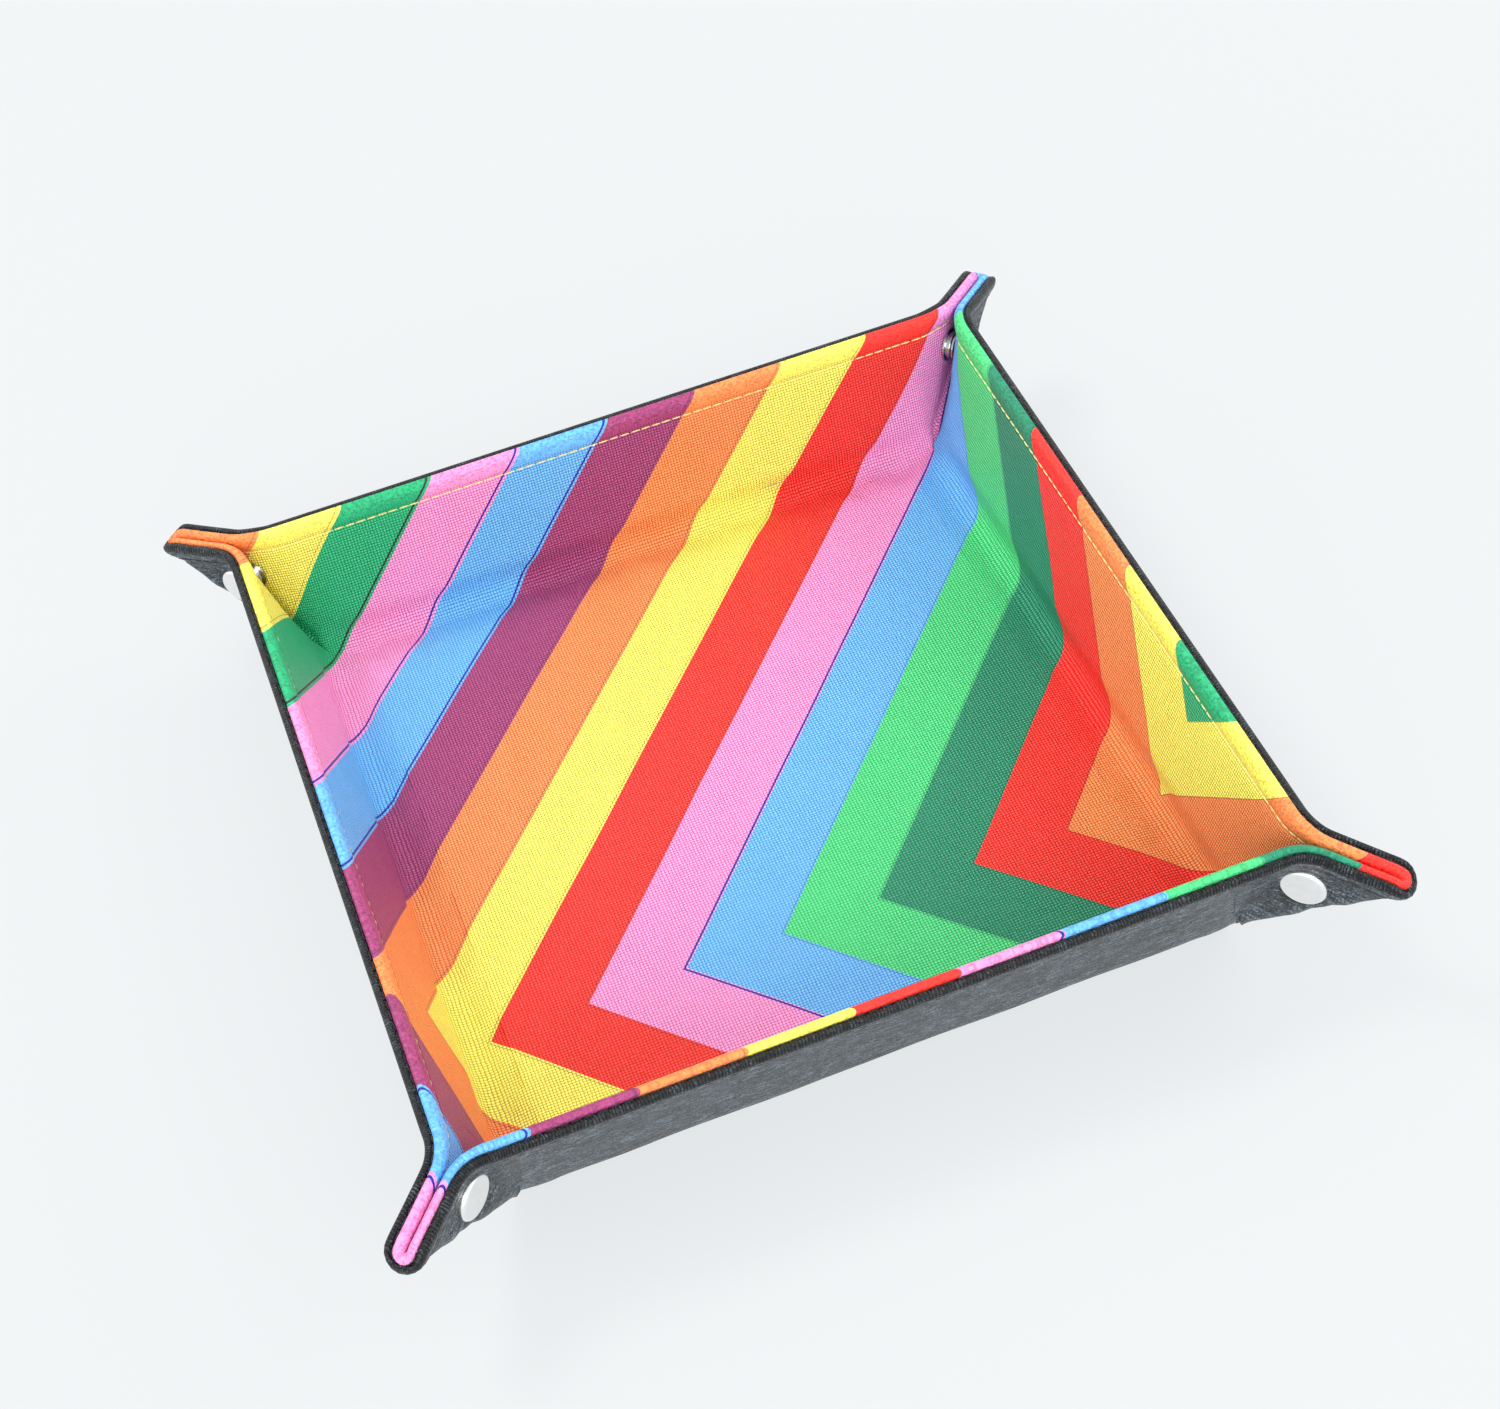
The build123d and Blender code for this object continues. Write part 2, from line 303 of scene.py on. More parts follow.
def bell(x, width):
    return np.exp(-(x / width) ** 2)


def lining_relief(u, v, upright):
    """How far the lining stands off its usual depth, towards the inside of the tray."""
    past = np.where(upright, np.abs(v), np.abs(u)) - HALF
    along = np.where(upright, u, v) * np.where(np.where(upright, v, u) < 0, -1, 1)
    square = crease_coordinates(np.where(upright, np.abs(u), np.abs(v)) - HALF, past)[1]
    from_corner = np.hypot(np.abs(u) - HALF, np.abs(v) - HALF)
    clear = smoothstep((from_corner - 3 * MM) / (12 * MM)) * smoothstep((2 * MM - square) / (8 * MM))
    far, height = np.array(GAP_PROFILE).T * MM
    gap = np.interp(past, far, height)
    pucker = waves(along + 0.8 * past, 0.35 * past, 17 * MM, 5) * bell(past + 4 * MM, 7 * MM) * 0.4 * MM
    around = np.arctan2(np.abs(v) - HALF, np.abs(u) - HALF) + 3 * pi / 4
    gather = bell(from_corner - 13 * MM, 7 * MM) * np.cos(around * 7) * bell(around, 0.75) * 0.5 * MM
    broad = waves(u, v, 55 * MM, 3) * 0.2 * MM * smoothstep((30 * MM - past) / (12 * MM))
    lift = 0.7 * MM * smoothstep(1 - from_corner / CORNER_REACH)
    relief = clear * (gap + pucker) + gather + broad + lift
    return np.where(past < -4 * MM, np.maximum(relief, -0.92 * MM), relief)


def cover_relief(u, v, upright):
    """The same for the cover, towards the outside."""
    new_u, new_v, _, _ = tight_fold(u, v, upright)
    e = np.where(upright, np.abs(new_u), np.abs(new_v)) - HALF
    past = np.where(upright, np.abs(new_v), np.abs(new_u)) - HALF
    along, square = crease_coordinates(e, past)
    far = np.hypot(along - SNAP_ALONG_CREASE, square - SNAP_FROM_CREASE)
    around = np.arctan2(along - SNAP_ALONG_CREASE, square - SNAP_FROM_CREASE)
    rays = np.sin(6 * around + 1.3 * np.sin(around)) * bell(far - 10 * MM, 4 * MM) * 0.28 * MM
    rays = rays * ear_share(u, v, upright) * smoothstep(past / (8 * MM))
    streaks = waves(0.25 * np.where(upright, u, v), past, 6 * MM, 8) * 0.07 * MM * smoothstep(past / (5 * MM))
    streaks = streaks * smoothstep((WALL - BAND - past) / (3 * MM))
    broad = waves(u, v, 30 * MM, 4) * 0.14 * MM * smoothstep((30 * MM - past) / (12 * MM))
    return rays + streaks + broad


def lining_depth(u, v, upright):
    return LINING - lining_relief(u, v, upright)


def cover_depth(u, v, upright):
    """The cover lies deep where a board is and round the floor's corners, and less on the ears."""
    depth = COVER + (EAR_COVER - COVER) * ear_share(u, v, upright)
    depth = depth + (SNAP_COVER - depth) * snap_press(u, v, upright)
    from_corner = np.hypot(np.abs(u) - HALF, np.abs(v) - HALF)
    depth = CORNER_COVER + (depth - CORNER_COVER) * smoothstep(from_corner / CORNER_REACH)
    return depth + cover_relief(u, v, upright) * smoothstep(from_corner / (2 * CORNER_REACH))


# ---- patches of the flat sheet -----------------------------------------------------------
def quarter_turn(points, times):
    """Flat points turned about the middle of the floor, from the back wall's side."""
    u, v = points[..., 0], points[..., 1]
    for _ in range(times):
        u, v = -v, u
    return np.stack((u, v), -1)


def spaced(low, high, step):
    return np.linspace(low, high, max(2, int(round((high - low) / step)) + 1))


FLOOR_EDGE = HALF - LAP
RISES = spaced(0, 1, ROW / (WALL - BAND))              # shares of the way up to the rim's band
FLOOR_COLUMNS = spaced(-1, 1, 2 * ROW / (2 * HALF))


def wall_columns(rises):
    """Half the width of the back wall's patch at each share of the way up."""
    return HALF + rises * (WALL - BAND) * tan(BORDER)


def floor_flat():
    across, up = np.meshgrid(FLOOR_COLUMNS * FLOOR_EDGE, FLOOR_COLUMNS * FLOOR_EDGE)
    return np.stack((across, up), -1)


def wall_flat():
    """The back wall's patch, from the floor to the band below its rim, as rows of points."""
    foot = spaced(FLOOR_EDGE, HALF, ROW)[:-1]
    rows = [np.stack((FLOOR_COLUMNS * v, np.full_like(FLOOR_COLUMNS, v)), -1) for v in foot]
    for rise in RISES:
        u = FLOOR_COLUMNS * wall_columns(rise)
        rows.append(np.stack((u, np.full_like(u, HALF + rise * (WALL - BAND))), -1))
    return np.array(rows)


def wall_rim(inset):
    """A line along the back wall's rim, this far in from it."""
    u = FLOOR_COLUMNS * wall_columns(1)
    return np.stack((u, np.full_like(u, HALF + WALL - inset)), -1)


def ear_rim(inset):
    """A line along an ear layer's rim, right end of the back wall, out to the shared fold."""
    start = wall_columns(1)
    bend = HALF + WALL - CORNER
    coarse = spaced(start, bend - FOLD_STRIP, ROW)[:-1]
    fine = spaced(bend - FOLD_STRIP, bend, FINE)
    line = [(u, HALF + WALL - inset) for u in (*coarse, *fine)]
    for turn in np.linspace(0, pi / 4, 9)[1:]:
        radius = CORNER - inset
        line.append((bend + radius * sin(turn), bend + radius * cos(turn)))
    return np.array(line)


FOLD_COLUMN = len(spaced(wall_columns(1), HALF + WALL - CORNER - FOLD_STRIP, ROW)) - 1
EAR_PARTS = (("", slice(None, FOLD_COLUMN + 1)), ("_fold", slice(FOLD_COLUMN, None)))


def ear_flat():
    """An ear layer's patch below its band: rows that shrink towards the floor corner."""
    corner = np.array((HALF, HALF))
    return np.array([corner + (ear_rim(BAND) - corner) * rise for rise in RISES])


def mirrored(points):
    return np.stack((-points[..., 0], points[..., 1]), -1)


# ---- meshes ------------------------------------------------------------------------------
def printed_place(flat):
    """Flat places as the print has them: it runs a little ahead past a floor crease.

    The third value is the distance in from the sheet's straight edges.
    """
    lead = PRINT_STRETCH * smoothstep((np.abs(flat) - FLOOR_EDGE) / (2 * LAP))
    inset = HALF + WALL - np.abs(flat).max(-1, keepdims=True)
    return np.concatenate((flat + np.sign(flat) * lead, inset), -1)


def new_mesh(name, points, faces, flat, material):
    mesh = bpy.data.meshes.new(name)
    mesh.from_pydata(points.tolist(), [], faces)
    if flat is not None:
        attribute = mesh.attributes.new("flat", "FLOAT_VECTOR", "POINT")
        attribute.data.foreach_set("vector", printed_place(flat).astype(np.float32).ravel())
    piece = bpy.data.objects.new(name, mesh)
    bpy.context.scene.collection.objects.link(piece)
    mesh.materials.append(material)
    mesh.polygons.foreach_set("use_smooth", [True] * len(mesh.polygons))
    mesh.update()
    return piece


def grid_faces(rows, columns, flip):
    faces = []
    for i in range(rows - 1):
        for j in range(columns - 1):
            a = i * columns + j
            face = (a, a + 1, a + columns + 1, a + columns)
            faces.append(face[::-1] if flip else face)
    return faces


def sheet_patch(name, flat, depth, upright, flip, material, outward):
    """One layer of one patch as a closed shell, thickened away from its visible face."""
    rows, columns = flat.shape[:2]
    spot, _ = place(flat[..., 0], flat[..., 1], upright, depth)
    faces = grid_faces(rows, columns, flip != outward)
    piece = new_mesh(name, spot.reshape(-1, 3), faces, flat.reshape(-1, 2), material)
    weld = piece.modifiers.new("weld", "WELD")
    weld.merge_threshold = 0.002 * MM
    shell = piece.modifiers.new("shell", "SOLIDIFY")
    shell.thickness = LAYER
    shell.offset = -1
    apply_modifiers(piece)
    return piece


def apply_modifiers(piece):
    bpy.context.view_layer.update()
    graph = bpy.context.evaluated_depsgraph_get()
    mesh = bpy.data.meshes.new_from_object(piece.evaluated_get(graph))
    mesh.name = piece.data.name
    piece.modifiers.clear()
    piece.data = mesh
    mesh.set_sharp_from_angle(angle=radians(50))


def with_rim(flat, rim_line, section, depth_of, upright):
    """A patch's rows and depths with the rim's cross section added above them."""
    share = ear_share(rim_line(0)[..., 0], rim_line(0)[..., 1], True)
    rows, depths = list(flat[:-1]), list(depth_of(flat[:-1, :, 0], flat[:-1, :, 1], upright))
    for inset, wall_depth, ear_depth in section:
        rows.append(rim_line(inset * MM))
        depths.append((wall_depth + (ear_depth - wall_depth) * share) * MM)
    return np.array(rows), np.array(depths)


# ---- materials ---------------------------------------------------------------------------
class Nodes:
    """Short ways to add nodes to a material."""

    def __init__(self, name):
        self.material = bpy.data.materials.new(name)
        self.material.use_nodes = True
        self.tree = self.material.node_tree
        self.shader = self.tree.nodes["Principled BSDF"]

    def add(self, kind, inputs=None, **settings):
        node = self.tree.nodes.new(kind)
        for key, value in settings.items():
            setattr(node, key, value)
        for key, value in (inputs or {}).items():
            self.put(node.inputs[key], value)
        return node

    def put(self, socket, value):
        if isinstance(value, bpy.types.NodeSocket):
            self.tree.links.new(value, socket)
        else:
            socket.default_value = value

    def math(self, operation, a, b=0.0, c=0.0):
        node = self.add("ShaderNodeMath", {0: a, 1: b, 2: c}, operation=operation)
        return node.outputs[0]

    def mix(self, share, a, b, blend="MIX"):
        node = self.add("ShaderNodeMix", data_type="RGBA", blend_type=blend)
        self.put(node.inputs["Factor"], share)
        self.put(node.inputs["A"], a)
        self.put(node.inputs["B"], b)
        return node.outputs["Result"]

    def noise(self, where, scale, detail=3.0, roughness=0.5):
        node = self.add("ShaderNodeTexNoise", {
            "Vector": where, "Scale": scale, "Detail": detail, "Roughness": roughness})
        return node.outputs["Fac"]

    def ramp(self, value, stops, interpolation="LINEAR"):
        node = self.add("ShaderNodeValToRGB", {"Fac": value})
        ramp = node.color_ramp
        ramp.interpolation = interpolation
        while len(ramp.elements) > 1:
            ramp.elements.remove(ramp.elements[-1])
        ramp.elements[0].position = stops[0][0]
        ramp.elements[0].color = stops[0][1]
        for position, colour in stops[1:]:
            ramp.elements.new(position).color = colour
        return node.outputs["Color"]

    def clamp(self, value, low, high):
        return self.math("MINIMUM", self.math("MAXIMUM", value, low), high)

    def flat_place(self):
        """The place on the flat sheet as the mesh carries it: the vector and its three parts."""
        flat = self.add("ShaderNodeAttribute", attribute_name="flat", attribute_type="GEOMETRY")
        parts = self.add("ShaderNodeSeparateXYZ", {"Vector": flat.outputs["Vector"]}).outputs
        return flat.outputs["Vector"], parts["X"], parts["Y"], parts["Z"]

    def bump(self, height, strength, distance):
        """Sets the surface's small relief."""
        node = self.add("ShaderNodeBump", {
            "Height": height, "Strength": strength, "Distance": distance})
        self.put(self.shader.inputs["Normal"], node.outputs["Normal"])


def linear(red, green, blue):
    """A colour given as it looks on a screen, 0 to 1, for a shader."""
    def channel(x):
        return x / 12.92 if x <= 0.04045 else ((x + 0.055) / 1.055) ** 2.4
    return channel(red), channel(green), channel(blue), 1.0


def grey(value):
    return value, value, value, 1.0


YELLOW = linear(1.00, 0.95, 0.38)
EMERALD = linear(0.05, 0.68, 0.44)
PINK = linear(1.00, 0.58, 0.81)
BLUE = linear(0.40, 0.71, 0.98)
PURPLE = linear(0.63, 0.22, 0.44)
ORANGE = linear(1.00, 0.55, 0.29)
RED = linear(1.00, 0.17, 0.12)
LIGHT_GREEN = linear(0.28, 0.84, 0.50)
DARK_GREEN = linear(0.07, 0.55, 0.40)
NAVY = linear(0.08, 0.08, 0.72)
DARK = linear(0.05, 0.16, 0.10)
STRIPES = (ORANGE, YELLOW, EMERALD, PINK, BLUE, PURPLE, ORANGE, YELLOW, RED, PINK, BLUE,
           LIGHT_GREEN, DARK_GREEN, RED, ORANGE, YELLOW, EMERALD)
FIRST_STRIPE = -8
OUTLINES = {-5: DARK, -4: NAVY, -3: NAVY, 2: NAVY}     # stripe edges that are printed as a line
LINE_WIDTH = 0.58 * MM
EMBOSS = 0.80 * MM                                     # pitch of the lining's weave
ROLL = 3 * MM                                          # the rolled rim, where the weave fades
BEAD = 2.2 * MM                                        # width of the cover's rough bead at the rim
BEAD_RIB = 0.85 * MM


def stripe_colour(make, u, v):
    """The printed chevrons, from the place on the flat sheet."""
    height = make.math("SUBTRACT", v, POINT_LINE)
    above = make.math("GREATER_THAN", height, 0.0)
    slant = make.math("MULTIPLY_ADD", above, SLANT_ABOVE - SLANT_BELOW, SLANT_BELOW)
    shift = make.math("MULTIPLY", make.math("ABSOLUTE", height), slant)
    across = make.math("SUBTRACT", make.math("SUBTRACT", u, STRIPE_START), shift)
    index = make.math("DIVIDE", across, STRIPE)
    count = len(STRIPES)
    share = make.math("DIVIDE", make.math("SUBTRACT", index, float(FIRST_STRIPE)), float(count))
    stops = [(i / count, colour) for i, colour in enumerate(STRIPES)]
    colour = make.ramp(share, stops, "CONSTANT")
    nearest = make.math("ROUND", index)
    distance = make.math("MULTIPLY", make.math("ABSOLUTE", make.math("SUBTRACT", index, nearest)), STRIPE)
    for edge, line_colour in OUTLINES.items():
        at_edge = make.math("COMPARE", nearest, float(edge), 0.5)
        close = make.math("LESS_THAN", distance, LINE_WIDTH * 0.65)
        colour = make.mix(make.math("MULTIPLY", at_edge, close), colour, line_colour)
    overprint = make.math("MULTIPLY", make.math("LESS_THAN", distance, 0.2 * MM), 0.45)
    return make.mix(overprint, colour, DARK)


def printed_leatherette():
    """Bright print on a lining embossed with a fine crossed weave, which the rim's roll smooths out; with
    painted shade in the weave's grooves and the roll's creases, and painted highlights on the weave's peaks.
    """
    make = Nodes("printed_leatherette")
    where, u, v, inset = make.flat_place()
    wander = make.math("MULTIPLY", make.math("SUBTRACT", make.noise(where, 600.0, 2.0), 0.5), 1.8)
    ribs = []
    for axis, pitch in ((u, EMBOSS * 1.08), (v, EMBOSS)):
        phase = make.math("ADD", make.math("MULTIPLY", axis, pi / pitch), wander)
        ribs.append(make.math("POWER", make.math("ABSOLUTE", make.math("SINE", phase)), 0.6))
    grain = make.math("MULTIPLY", ribs[0], ribs[1])
    patchy = make.noise(where, 60.0, 4.0, 0.6)
    specks = make.noise(where, 2600.0, 2.0)
    off_roll = make.math("MULTIPLY", make.math("SUBTRACT", inset, ROLL), 1 / ROLL)
    off_roll = make.clamp(off_roll, 0.12, 1.0)
    on_roll = make.math("SUBTRACT", 1.0, off_roll)
    # painted shade: the weave's grooves are darkened in the colour, less so on the roll
    groove_shade = make.ramp(grain, ((0.0, grey(0.16)), (0.35, grey(0.58)), (0.75, grey(1.08))))
    # painted shade in the roll's fine creases; the same noise is the roll's crease relief in the bump
    crease_shade_and_relief = make.ramp(make.noise(where, 1100.0, 3.0, 0.6), ((0.36, grey(0.5)), (0.58, grey(1.0))))
    share = make.math("MULTIPLY", make.math("MULTIPLY_ADD", patchy, 0.5, 0.6), off_roll)
    # painted highlights: whitish dots on the weave's peaks, off the roll
    peak_highlight = make.math("MULTIPLY", make.math("POWER", grain, 5.0), 0.06)
    colour = make.mix(share, stripe_colour(make, u, v), groove_shade, "MULTIPLY")
    colour = make.mix(on_roll, colour, crease_shade_and_relief, "MULTIPLY")
    colour = make.mix(make.math("MULTIPLY", peak_highlight, off_roll), colour, grey(1.0))
    make.put(make.shader.inputs["Base Color"], colour)
    make.put(make.shader.inputs["Roughness"], make.math("MULTIPLY_ADD", patchy, 0.2, 0.30))
    weave = make.math("MULTIPLY", make.math("MULTIPLY_ADD", specks, 0.3, grain), off_roll)
    make.bump(make.math("MULTIPLY_ADD", crease_shade_and_relief, on_roll, weave), 1.0, 0.3 * MM)
    make.shader.inputs["Specular IOR Level"].default_value = 0.38
    return make.material


def cover_wrinkles(make, along, inset):
    """Short wrinkles that run along the walls: 0 in a wrinkle, 1 off it."""
    drawn = make.add("ShaderNodeCombineXYZ", {"X": make.math("MULTIPLY", along, 0.3), "Y": inset})
    waver = make.noise(drawn.outputs[0], 520.0, 4.0, 0.6)
    wrinkles = make.math("ABSOLUTE", make.math("SUBTRACT", waver, 0.5))
    return make.math("MINIMUM", make.math("MULTIPLY", wrinkles, 5.0), 1.0)


def cover_bead(make, where, along, inset, fine):
    """How far a point is on the rim's rough bead, 0 to 1, and the short ribs across the bead."""
    ragged = make.math("MULTIPLY_ADD", make.noise(where, 900.0, 2.0), 1.0 * MM, inset)
    off_bead = make.math("MULTIPLY", make.math("SUBTRACT", ragged, BEAD), 1 / (0.6 * MM))
    on_bead = make.math("SUBTRACT", 1.0, make.clamp(off_bead, 0.0, 1.0))
    wander = make.math("MULTIPLY", make.noise(where, 300.0, 2.0), 6.0)
    ribs = make.math("SINE", make.math("MULTIPLY_ADD", along, pi / BEAD_RIB, wander))
    ribs = make.math("MULTIPLY", make.math("POWER", make.math("ABSOLUTE", ribs), 1.5), fine)
    return on_bead, ribs


def black_leatherette():
    """Black cover: pebbled, wrinkled along the walls and rough at its rim; its dark grey varies in random
    patches and is lifted to a bluish slate as painted reflection of the pale table, with painted shade in its
    pits and wrinkles and painted glints on the bead's ribs.
    """
    make = Nodes("black_leatherette")
    where = make.add("ShaderNodeTexCoord").outputs["Object"]
    _, u, v, inset = make.flat_place()
    along = make.math("MINIMUM", make.math("ABSOLUTE", u), make.math("ABSOLUTE", v))
    wrinkles = cover_wrinkles(make, along, inset)
    cells = make.add("ShaderNodeTexVoronoi", {"Vector": where, "Scale": 900.0}, feature="DISTANCE_TO_EDGE")
    pebbles = make.math("MINIMUM", make.math("MULTIPLY", cells.outputs["Distance"], 2.4), 1.0)
    fine = make.noise(where, 2600.0, 3.0)
    wide = make.noise(where, 150.0, 3.0, 0.55)
    on_bead, ribs = cover_bead(make, where, along, inset, fine)
    height = make.math("MULTIPLY_ADD", pebbles, 0.5, make.math("MULTIPLY", fine, 0.4))
    height = make.math("ADD", height, make.math("MULTIPLY_ADD", wide, 0.8, wrinkles))
    height = make.math("ADD", height, make.math("MULTIPLY", make.math("MULTIPLY", ribs, on_bead), 3.0))
    # the cover's dark grey in random patches, lifted and tinted blue as painted reflection of the pale table
    # at a grazing angle
    tone = make.ramp(wide, ((0.35, linear(0.29, 0.335, 0.37)), (0.65, linear(0.44, 0.50, 0.545))))
    # painted shade: the grooves between the pebbles are darkened in the colour
    pit_shade = make.ramp(pebbles, ((0.0, grey(0.12)), (0.5, grey(1.0))))
    # painted shade: the wrinkles along the walls are darkened in the colour
    lines = make.ramp(wrinkles, ((0.0, grey(0.03)), (0.45, grey(1.0))))
    # the bead's own near-black, with painted glints on the tops of its ribs
    bead = make.ramp(ribs, ((0.08, grey(0.03)), (0.25, grey(0.16)), (0.5, grey(0.9))))
    colour = make.mix(1.0, make.mix(1.0, tone, pit_shade, "MULTIPLY"), lines, "MULTIPLY")
    make.put(make.shader.inputs["Base Color"], make.mix(on_bead, colour, bead, "MULTIPLY"))
    make.put(make.shader.inputs["Roughness"], make.math("MULTIPLY_ADD", wide, 0.24, 0.22))
    make.bump(height, 1.0, 0.6 * MM)
    make.shader.inputs["Specular IOR Level"].default_value = 0.5
    return make.material


def thread(name, colour, shade):
    """Twisted sewing thread."""
    make = Nodes(name)
    where = make.add("ShaderNodeTexCoord").outputs["Object"]
    strands = make.add("ShaderNodeTexWave", {"Vector": where, "Scale": 1500.0, "Distortion": 3.0})
    tone = make.ramp(strands.outputs["Fac"], ((0.0, shade), (0.6, colour)))
    make.put(make.shader.inputs["Base Color"], tone)
    make.bump(strands.outputs["Fac"], 0.5, 0.06 * MM)
    make.shader.inputs["Roughness"].default_value = 0.6
    return make.material


def metal(name, colour, roughness, grain):
    """Plated metal with faint handling marks."""
    make = Nodes(name)
    where = make.add("ShaderNodeTexCoord").outputs["Object"]
    marks = make.noise(where, 420.0, 4.0, 0.6)
    fine = make.noise(where, 5200.0, 2.0)
    bright = tuple(min(1, 1.08 * channel) for channel in colour)
    make.put(make.shader.inputs["Base Color"], make.ramp(marks, ((0.3, colour), (0.75, bright))))
    make.put(make.shader.inputs["Roughness"], make.math("MULTIPLY_ADD", marks, grain, roughness))
    make.bump(fine, 0.08, 0.02 * MM)
    make.shader.inputs["Metallic"].default_value = 1.0
    return make.material


def grey_board():
    """Pressed grey board with short fibres."""
    make = Nodes("grey_board")
    where = make.add("ShaderNodeTexCoord").outputs["Object"]
    fibres = make.noise(where, 900.0, 6.0, 0.7)
    tone = make.ramp(fibres, ((0.35, linear(0.47, 0.45, 0.42)), (0.7, linear(0.62, 0.60, 0.56))))
    make.put(make.shader.inputs["Base Color"], tone)
    make.bump(fibres, 0.4, 0.1 * MM)
    make.shader.inputs["Roughness"].default_value = 0.9
    return make.material


def pale_table():
    """A bright table that keeps its shadows light, as on a lit white sweep."""
    make = Nodes("pale_table")
    where = make.add("ShaderNodeTexCoord").outputs["Object"]
    faint = make.noise(where, 3.0, 2.0)
    tone = make.ramp(faint, ((0.3, (0.108, 0.108, 0.106, 1)), (0.7, (0.112, 0.112, 0.11, 1))))
    make.put(make.shader.inputs["Base Color"], tone)
    make.shader.inputs["Roughness"].default_value = 0.8
    make.shader.inputs["Specular IOR Level"].default_value = 0.0
    make.shader.inputs["Emission Color"].default_value = (0.935, 0.965, 0.985, 1)
    make.shader.inputs["Emission Strength"].default_value = 0.73
    return make.material


# ---- building the sheet ------------------------------------------------------------------
lining_material = printed_leatherette()
cover_material = black_leatherette()
pale_thread = thread("pale_thread", linear(0.97, 0.91, 0.62), linear(0.80, 0.68, 0.38))
black_thread = thread("black_thread", linear(0.13, 0.13, 0.14), linear(0.04, 0.04, 0.05))
nickel = metal("nickel", (0.86, 0.86, 0.85, 1), 0.14, 0.14)
dark_nickel = metal("dark_nickel", (0.42, 0.42, 0.43, 1), 0.10, 0.12)
steel = metal("spring_steel", (0.55, 0.55, 0.56, 1), 0.25, 0.15)
board_material = grey_board()

# Each layer: its rim's section, its depth, its material and slot, and whether it faces outward.
LAYERS = (
    ("lining", LINING_RIM, lining_depth, lining_material, "printed_leatherette", False),
    ("cover", COVER_RIM[::-1], cover_depth, cover_material, "black_leatherette", True),
)


def wall_spot(turns, flat_u, flat_v):
    """A folded place given on the back wall's side and turned to another wall."""
    point = quarter_turn(np.array((flat_u, flat_v), float), turns)
    spot, _ = place(point[0], point[1], turns % 2 == 0, 0.0)
    return tuple(float(x) for x in spot)


def bend_floor_to_wall(piece, turns):
    wall_spot(turns, 0, HALF - LAP)
    wall_spot(turns, 0, HALF + LAP)
    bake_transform(piece)


def bend_wall_to_ear(piece, turns, mirror):
    """Takes places either side of the crease between a wall and an ear layer, half way up, and bakes the
    piece's transform into its mesh.
    """
    along = 0.55 * WALL / cos(SPLAY)
    sign = -1 if mirror else 1
    for square in (-LAP, LAP):
        e = along * sin(SPLAY) + square * cos(SPLAY)
        s = along * cos(SPLAY) - square * sin(SPLAY)
        wall_spot(turns, sign * (HALF + e), HALF + s)
    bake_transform(piece)


def make_floor():
    flat = floor_flat()
    for layer, _, depth_of, material, slot, outward in LAYERS:
        depth = depth_of(flat[..., 0], flat[..., 1], True)
        node = "floor_lining" if layer == "lining" else "floor_outer_cover"
        piece = sheet_patch(f"soft_{node}", flat, depth, True, False, material, outward)
        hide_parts(node)
        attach(piece, "floor")


def make_wall(wall, turns):
    flat = wall_flat()
    upright = turns % 2 == 0
    for layer, section, depth_of, material, slot, outward in LAYERS:
        rows, depth = with_rim(flat, wall_rim, section, depth_of, True)
        turned = quarter_turn(rows, turns)
        node = f"{wall}_wall_lining" if layer == "lining" else f"{wall}_wall_outer_cover"
        piece = sheet_patch(f"soft_{node}", turned, depth, upright, False, material, outward)
        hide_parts(node)
        bend_floor_to_wall(piece, turns)


def flatten_fold(piece, turns, mirror, ear):
    """An ear layer's half of the shared fold turns with the ear."""
    inside = np.array((HALF + 0.3 * WALL, HALF + 0.4 * WALL))
    point = quarter_turn(mirrored(inside) if mirror else inside, turns)
    spot, face = rigid_fold(point[0], point[1], turns % 2 == 0)
    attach(piece, ear)
    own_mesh(piece)


def make_ear(wall, turns, mirror):
    """One layer of an ear: mirror False is the end that a quarter turn clockwise leads to."""
    corner = WALLS[(turns + (1 if mirror else 3)) % 4]
    flat = ear_flat()
    upright = turns % 2 == 0
    ear = f"{wall}_wall_{corner}_ear"
    for layer, section, depth_of, material, slot, outward in LAYERS:
        rows, depth = with_rim(flat, ear_rim, section, depth_of, True)
        turned = quarter_turn(mirrored(rows) if mirror else rows, turns)
        node = f"{ear}_{layer}"
        pieces = []
        for part, columns in EAR_PARTS:
            cut, low = turned[:, columns], depth[:, columns]
            pieces.append(sheet_patch(f"soft_{node}{part}", cut, low, upright, mirror, material, outward))
            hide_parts(node)
        bend_wall_to_ear(pieces[0], turns, mirror)
        flatten_fold(pieces[1], turns, mirror, ear)


# ---- seams -------------------------------------------------------------------------------
def along_line(line, step):
    """Evenly spaced distances along a flat line, and the distance at each of its own points."""
    lengths = np.concatenate(([0], np.cumsum(np.linalg.norm(np.diff(line, axis=0), axis=1))))
    at = np.arange(step / 2, lengths[-1], step)
    return at, lengths


def point_on(line, lengths, at):
    """Points this far along a flat line."""
    return np.stack((np.interp(at, lengths, line[:, 0]), np.interp(at, lengths, line[:, 1])), -1)


SIDES = 6                                              # of a stitch's cross section
# Along a stitch: place in lengths from its middle, thickness, and how far it sinks, in threads.
STATIONS = ((-0.5, 0.35, 0.10), (-0.42, 0.8, -0.10), (0.0, 1.0, -0.55), (0.42, 0.8, -0.10), (0.5, 0.35, 0.10))


